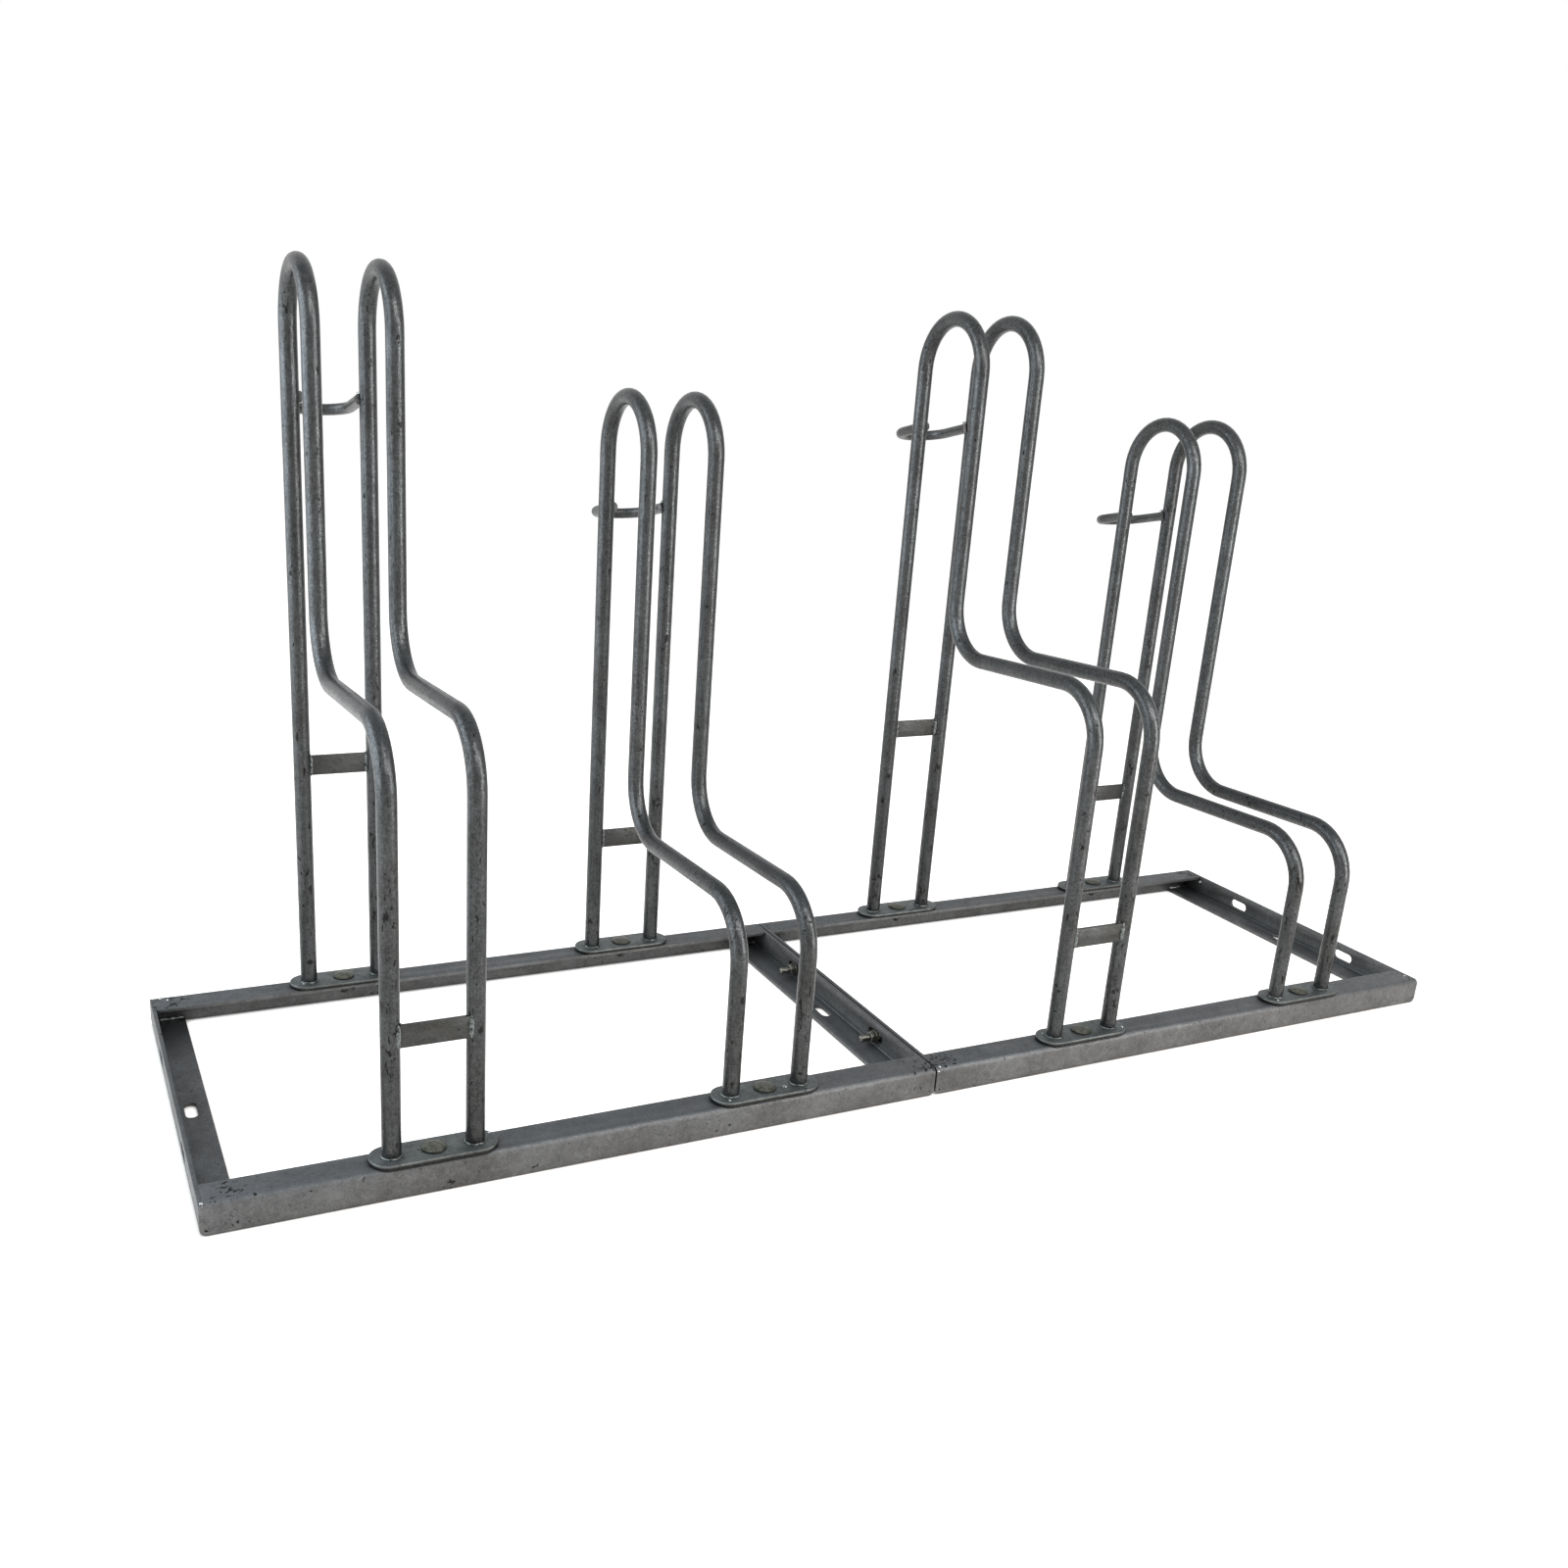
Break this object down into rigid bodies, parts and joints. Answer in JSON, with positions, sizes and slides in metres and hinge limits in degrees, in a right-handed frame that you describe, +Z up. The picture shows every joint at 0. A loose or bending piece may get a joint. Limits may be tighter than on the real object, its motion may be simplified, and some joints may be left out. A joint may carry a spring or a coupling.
{
  "type": "floor bike rack",
  "caption": "Floor-standing galvanised steel bike rack: bolted-together rack units whose paired bent-tube hoops hold front wheels at alternating high and low levels.",
  "frame": {"origin": "on the floor, at the middle of the rack's overall plan (foot plates' front edge to wheel stops' rear edge)", "axes": "+X along the rack to the right as seen by someone who pushes a bicycle in, +Y from the front to the rear, +Z up"},
  "size_m": [1.502, 0.5071, 0.8138],
  "materials": {
    "galvanised_angle": "hot-dip galvanised, dull spangle with weld spatter",
    "galvanised_tube": "hot-dip galvanised, satin with bright bends",
    "galvanised_plate": "hot-dip galvanised, dark and dull",
    "galvanised_flat": "hot-dip galvanised, dull",
    "galvanised_rod": "hot-dip galvanised, satin",
    "zinc_fastener": "zinc plated and passivated, faint yellow-olive"
  },
  "bodies": {
    "root": {"left_front_rail": "galvanised_angle", "left_rear_rail": "galvanised_angle", "left_end_bar": "galvanised_angle", "left_middle_end_bar": "galvanised_angle", "right_front_rail": "galvanised_angle", "right_rear_rail": "galvanised_angle", "right_middle_end_bar": "galvanised_angle", "right_end_bar": "galvanised_angle", "holder1_left_hoop": "galvanised_tube", "holder1_right_hoop": "galvanised_tube", "holder1_front_plate": "galvanised_plate", "holder1_rear_plate": "galvanised_plate", "holder1_front_bar": "galvanised_flat", "holder1_rear_bar": "galvanised_flat", "holder1_wheel_stop": "galvanised_rod", "holder2_left_hoop": "galvanised_tube", "holder2_right_hoop": "galvanised_tube", "holder2_front_plate": "galvanised_plate", "holder2_rear_plate": "galvanised_plate", "holder2_rear_bar": "galvanised_flat", "holder2_wheel_stop": "galvanised_rod", "holder3_left_hoop": "galvanised_tube", "holder3_right_hoop": "galvanised_tube", "holder3_front_plate": "galvanised_plate", "holder3_rear_plate": "galvanised_plate", "holder3_front_bar": "galvanised_flat", "holder3_rear_bar": "galvanised_flat", "holder3_wheel_stop": "galvanised_rod", "holder4_left_hoop": "galvanised_tube", "holder4_right_hoop": "galvanised_tube", "holder4_front_plate": "galvanised_plate", "holder4_rear_plate": "galvanised_plate", "holder4_rear_bar": "galvanised_flat", "holder4_wheel_stop": "galvanised_rod", "foot_bolts": "zinc_fastener", "foot_nuts": "zinc_fastener", "joining_bolts": "zinc_fastener", "joining_washers": "zinc_fastener", "joining_nuts": "zinc_fastener"}
  },
  "joints": []
}
